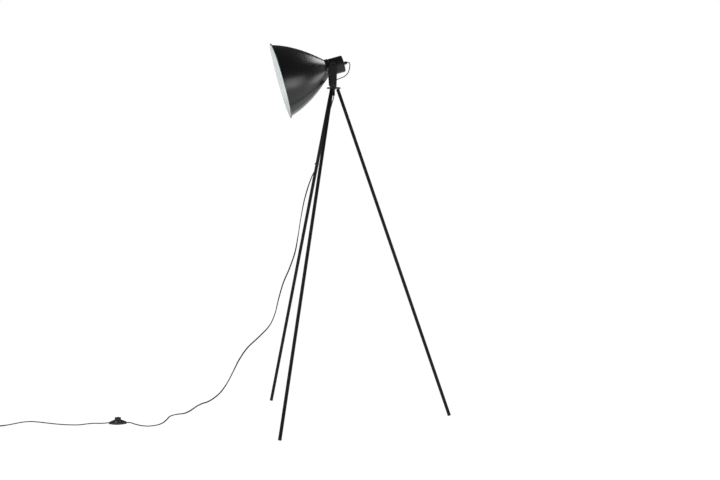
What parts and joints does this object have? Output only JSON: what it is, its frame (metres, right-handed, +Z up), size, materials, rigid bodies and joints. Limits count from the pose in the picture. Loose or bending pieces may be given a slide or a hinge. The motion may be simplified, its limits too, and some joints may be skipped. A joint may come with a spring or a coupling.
{
  "type": "tripod floor lamp",
  "caption": "Floor lamp with a deep spun-metal shade tilting in a U-shaped yoke on a swivelling hub, three tube legs, and a flat lead with foot switch and plug.",
  "frame": {"origin": "on the floor under the middle of the hub, where the three rubber feet stand", "axes": "+Z up; -X the way the shade faces; +X towards the leg opposite the shade; +Y towards the leg that carries the lead"},
  "size_m": [1.8567, 0.8128, 1.4642],
  "materials": {
    "black_coat": "satin black powder coat, white enamel inside the shade",
    "zinc_steel": "zinc-plated steel",
    "black_steel": "black-finished steel",
    "plated_pins": "nickel plated",
    "brass": "plain",
    "black_plastic": "fine moulded texture",
    "grey_plastic": "fine moulded texture",
    "white_ceramic": "glazed ceramic",
    "nylon": "smooth",
    "rubber": "matt",
    "lead_sheath": "soft PVC sheath, slightly shiny",
    "core_sheath": "smooth"
  },
  "bodies": {
    "stand": {"hub_plate": "black_coat", "nipple": "black_steel", "nipple_nut": "black_coat", "swivel_washer": "nylon", "spring_washer": "black_steel", "lock_nut": "black_steel", "inlet_bush": "black_plastic", "outlet_bush": "black_plastic", "hub_studs": "zinc_steel", "leg_upper_right": "black_coat", "leg_upper_rear": "black_coat", "leg_upper_front": "black_coat", "leg_middle_right": "black_coat", "leg_middle_rear": "black_coat", "leg_middle_front": "black_coat", "leg_lower_right": "black_coat", "leg_lower_rear": "black_coat", "leg_lower_front": "black_coat", "leg_inserts": "zinc_steel", "leg_joint_studs": "zinc_steel", "foot_right": "rubber", "foot_rear": "rubber", "foot_front": "rubber", "cord_tie": "black_plastic", "cord_main": "lead_sheath", "switch_base": "black_plastic", "switch_cover": "grey_plastic", "button_spring": "zinc_steel", "switch_contacts": "brass", "switch_screws": "zinc_steel", "cord_tail": "lead_sheath", "cord_coil": "lead_sheath", "cord_end": "lead_sheath", "coil_tie": "black_plastic", "plug_body": "black_plastic", "plug_pins": "plated_pins"},
    "yoke": {"yoke": "black_coat", "cord_loop": "lead_sheath"},
    "head": {"shade": "black_coat", "housing": "black_coat", "ring_front": "black_plastic", "ring_rear": "black_plastic", "lampholder_sleeve": "black_plastic", "lampholder_core": "white_ceramic", "socket_shell": "brass", "centre_contact": "brass", "lampholder_cap": "black_plastic", "holder_leads": "core_sheath", "rear_nipple": "zinc_steel", "rear_nut": "zinc_steel", "cord_gland": "black_plastic", "tilt_screws": "black_steel", "tilt_washers": "black_steel", "tilt_spacers": "nylon", "tilt_nuts": "zinc_steel"},
    "switch_button": {"switch_button": "black_plastic"}
  },
  "joints": [
    {"name": "head_swivel", "type": "hinge", "parent": "stand", "child": "yoke", "pos_m": [0, 0, 1.3], "axis": [0, 0, 1], "range_deg": [-170, 170], "deforming": ["cord_loop"]},
    {"name": "head_tilt", "type": "hinge", "parent": "yoke", "child": "head", "pos_m": [-0.0055, 0, 1.379], "axis": [0, 1, 0], "range_deg": [-7, 60], "deforming": ["cord_loop"]},
    {"name": "switch_press", "type": "slide", "parent": "stand", "child": "switch_button", "axis": [0, 0, -1], "range_m": [0, 0.003], "stiffness_N_per_m": 400, "springref_m": -0.002, "deforming": ["button_spring"]}
  ]
}
